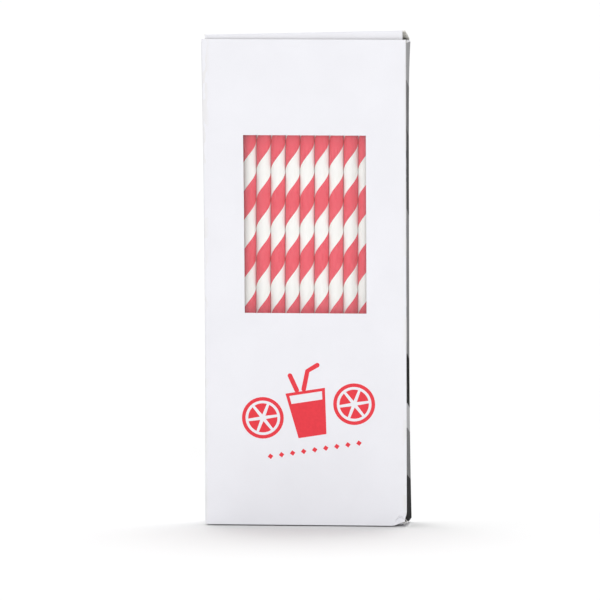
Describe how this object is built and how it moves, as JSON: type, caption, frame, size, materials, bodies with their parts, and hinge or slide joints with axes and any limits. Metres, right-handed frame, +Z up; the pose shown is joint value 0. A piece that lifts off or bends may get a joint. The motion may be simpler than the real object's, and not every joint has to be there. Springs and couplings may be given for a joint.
{
  "type": "drinking straw carton",
  "caption": "Upright tuck-end paperboard carton with a film window in its front, packed with red and white striped paper drinking straws.",
  "frame": {"origin": "middle of the footprint, on the ground", "axes": "+Z up along the straws, -Y out of the windowed front panel, +X to the right seen from the front"},
  "size_m": [0.083, 0.0266, 0.2024],
  "materials": {
    "printed_board": "white clay-coated folding boxboard, satin varnish",
    "dark_printed_board": "clay-coated folding boxboard printed in blocks of grey and black",
    "bare_board": "uncoated inner face of folding boxboard",
    "clear_film": "clear window film",
    "straw_paper": "spiral wound paper with red and white stripes"
  },
  "bodies": {
    "carton": {"front_panel": "printed_board", "back_panel": "printed_board", "left_side_panel": "printed_board", "right_side_panel": "dark_printed_board", "glue_flap": "bare_board", "window_film": "clear_film"},
    "straws": {"straw_row_1_01": "straw_paper", "straw_row_1_02": "straw_paper", "straw_row_1_03": "straw_paper", "straw_row_1_04": "straw_paper", "straw_row_1_05": "straw_paper", "straw_row_1_06": "straw_paper", "straw_row_1_07": "straw_paper", "straw_row_1_08": "straw_paper", "straw_row_1_09": "straw_paper", "straw_row_1_10": "straw_paper", "straw_row_1_11": "straw_paper", "straw_row_1_12": "straw_paper", "straw_row_1_13": "straw_paper", "straw_row_2_01": "straw_paper", "straw_row_2_02": "straw_paper", "straw_row_2_03": "straw_paper", "straw_row_2_04": "straw_paper", "straw_row_2_05": "straw_paper", "straw_row_2_06": "straw_paper", "straw_row_2_07": "straw_paper", "straw_row_2_08": "straw_paper", "straw_row_2_09": "straw_paper", "straw_row_2_10": "straw_paper", "straw_row_2_11": "straw_paper", "straw_row_2_12": "straw_paper", "straw_row_3_01": "straw_paper", "straw_row_3_02": "straw_paper", "straw_row_3_03": "straw_paper", "straw_row_3_04": "straw_paper", "straw_row_3_05": "straw_paper", "straw_row_3_06": "straw_paper", "straw_row_3_07": "straw_paper", "straw_row_3_08": "straw_paper", "straw_row_3_09": "straw_paper", "straw_row_3_10": "straw_paper", "straw_row_3_11": "straw_paper", "straw_row_3_12": "straw_paper", "straw_row_3_13": "straw_paper", "straw_row_4": "straw_paper"},
    "top_closure": {"top_closure_panel": "printed_board"},
    "top_tuck": {"top_tuck_flap": "printed_board"},
    "top_dust_left": {"top_dust_flap_left": "bare_board"},
    "top_dust_right": {"top_dust_flap_right": "bare_board"},
    "bottom_closure": {"bottom_closure_panel": "printed_board"},
    "bottom_tuck": {"bottom_tuck_flap": "printed_board"},
    "bottom_dust_left": {"bottom_dust_flap_left": "bare_board"},
    "bottom_dust_right": {"bottom_dust_flap_right": "bare_board"}
  },
  "joints": [
    {"name": "top_lid_hinge", "type": "hinge", "parent": "carton", "child": "top_closure", "pos_m": [0, 0.0133, 0.2005], "axis": [-1, 0, 0], "range_deg": [-4.1, 175.9]},
    {"name": "top_tuck_crease", "type": "hinge", "parent": "top_closure", "child": "top_tuck", "pos_m": [0, -0.01263, 0.20236], "axis": [-1, 0, 0], "range_deg": [-0.63, 26.41]},
    {"name": "top_dust_left_crease", "type": "hinge", "parent": "carton", "child": "top_dust_left", "pos_m": [-0.0415, 0, 0.19995], "axis": [0, -1, 0], "range_deg": [-1.86, 79.17]},
    {"name": "top_dust_right_crease", "type": "hinge", "parent": "carton", "child": "top_dust_right", "pos_m": [0.0415, 0, 0.19995], "axis": [0, 1, 0], "range_deg": [-1.86, 79.17]},
    {"name": "bottom_lid_hinge", "type": "hinge", "parent": "carton", "child": "bottom_closure", "pos_m": [0, 0.0133, 0], "axis": [1, 0, 0], "range_deg": [0, 180]},
    {"name": "bottom_tuck_crease", "type": "hinge", "parent": "bottom_closure", "child": "bottom_tuck", "pos_m": [0, -0.0127, 0], "axis": [1, 0, 0], "range_deg": [0, 27.02]},
    {"name": "bottom_dust_left_crease", "type": "hinge", "parent": "carton", "child": "bottom_dust_left", "pos_m": [-0.0415, 0, 0.00055], "axis": [0, 1, 0], "range_deg": [0, 81.02]},
    {"name": "bottom_dust_right_crease", "type": "hinge", "parent": "carton", "child": "bottom_dust_right", "pos_m": [0.0415, 0, 0.00055], "axis": [0, -1, 0], "range_deg": [0, 81.02]},
    {"name": "straws_lift", "type": "slide", "parent": "carton", "child": "straws", "axis": [0, 0, 1], "range_m": [0, 0.0012]}
  ],
  "couplings": [
    {"joint": "top_tuck_crease", "follows": "top_lid_hinge", "ratio": 0.15},
    {"joint": "top_dust_left_crease", "follows": "top_lid_hinge", "ratio": 0.45},
    {"joint": "top_dust_right_crease", "follows": "top_lid_hinge", "ratio": 0.45},
    {"joint": "bottom_tuck_crease", "follows": "bottom_lid_hinge", "ratio": 0.15},
    {"joint": "bottom_dust_left_crease", "follows": "bottom_lid_hinge", "ratio": 0.45},
    {"joint": "bottom_dust_right_crease", "follows": "bottom_lid_hinge", "ratio": 0.45}
  ]
}
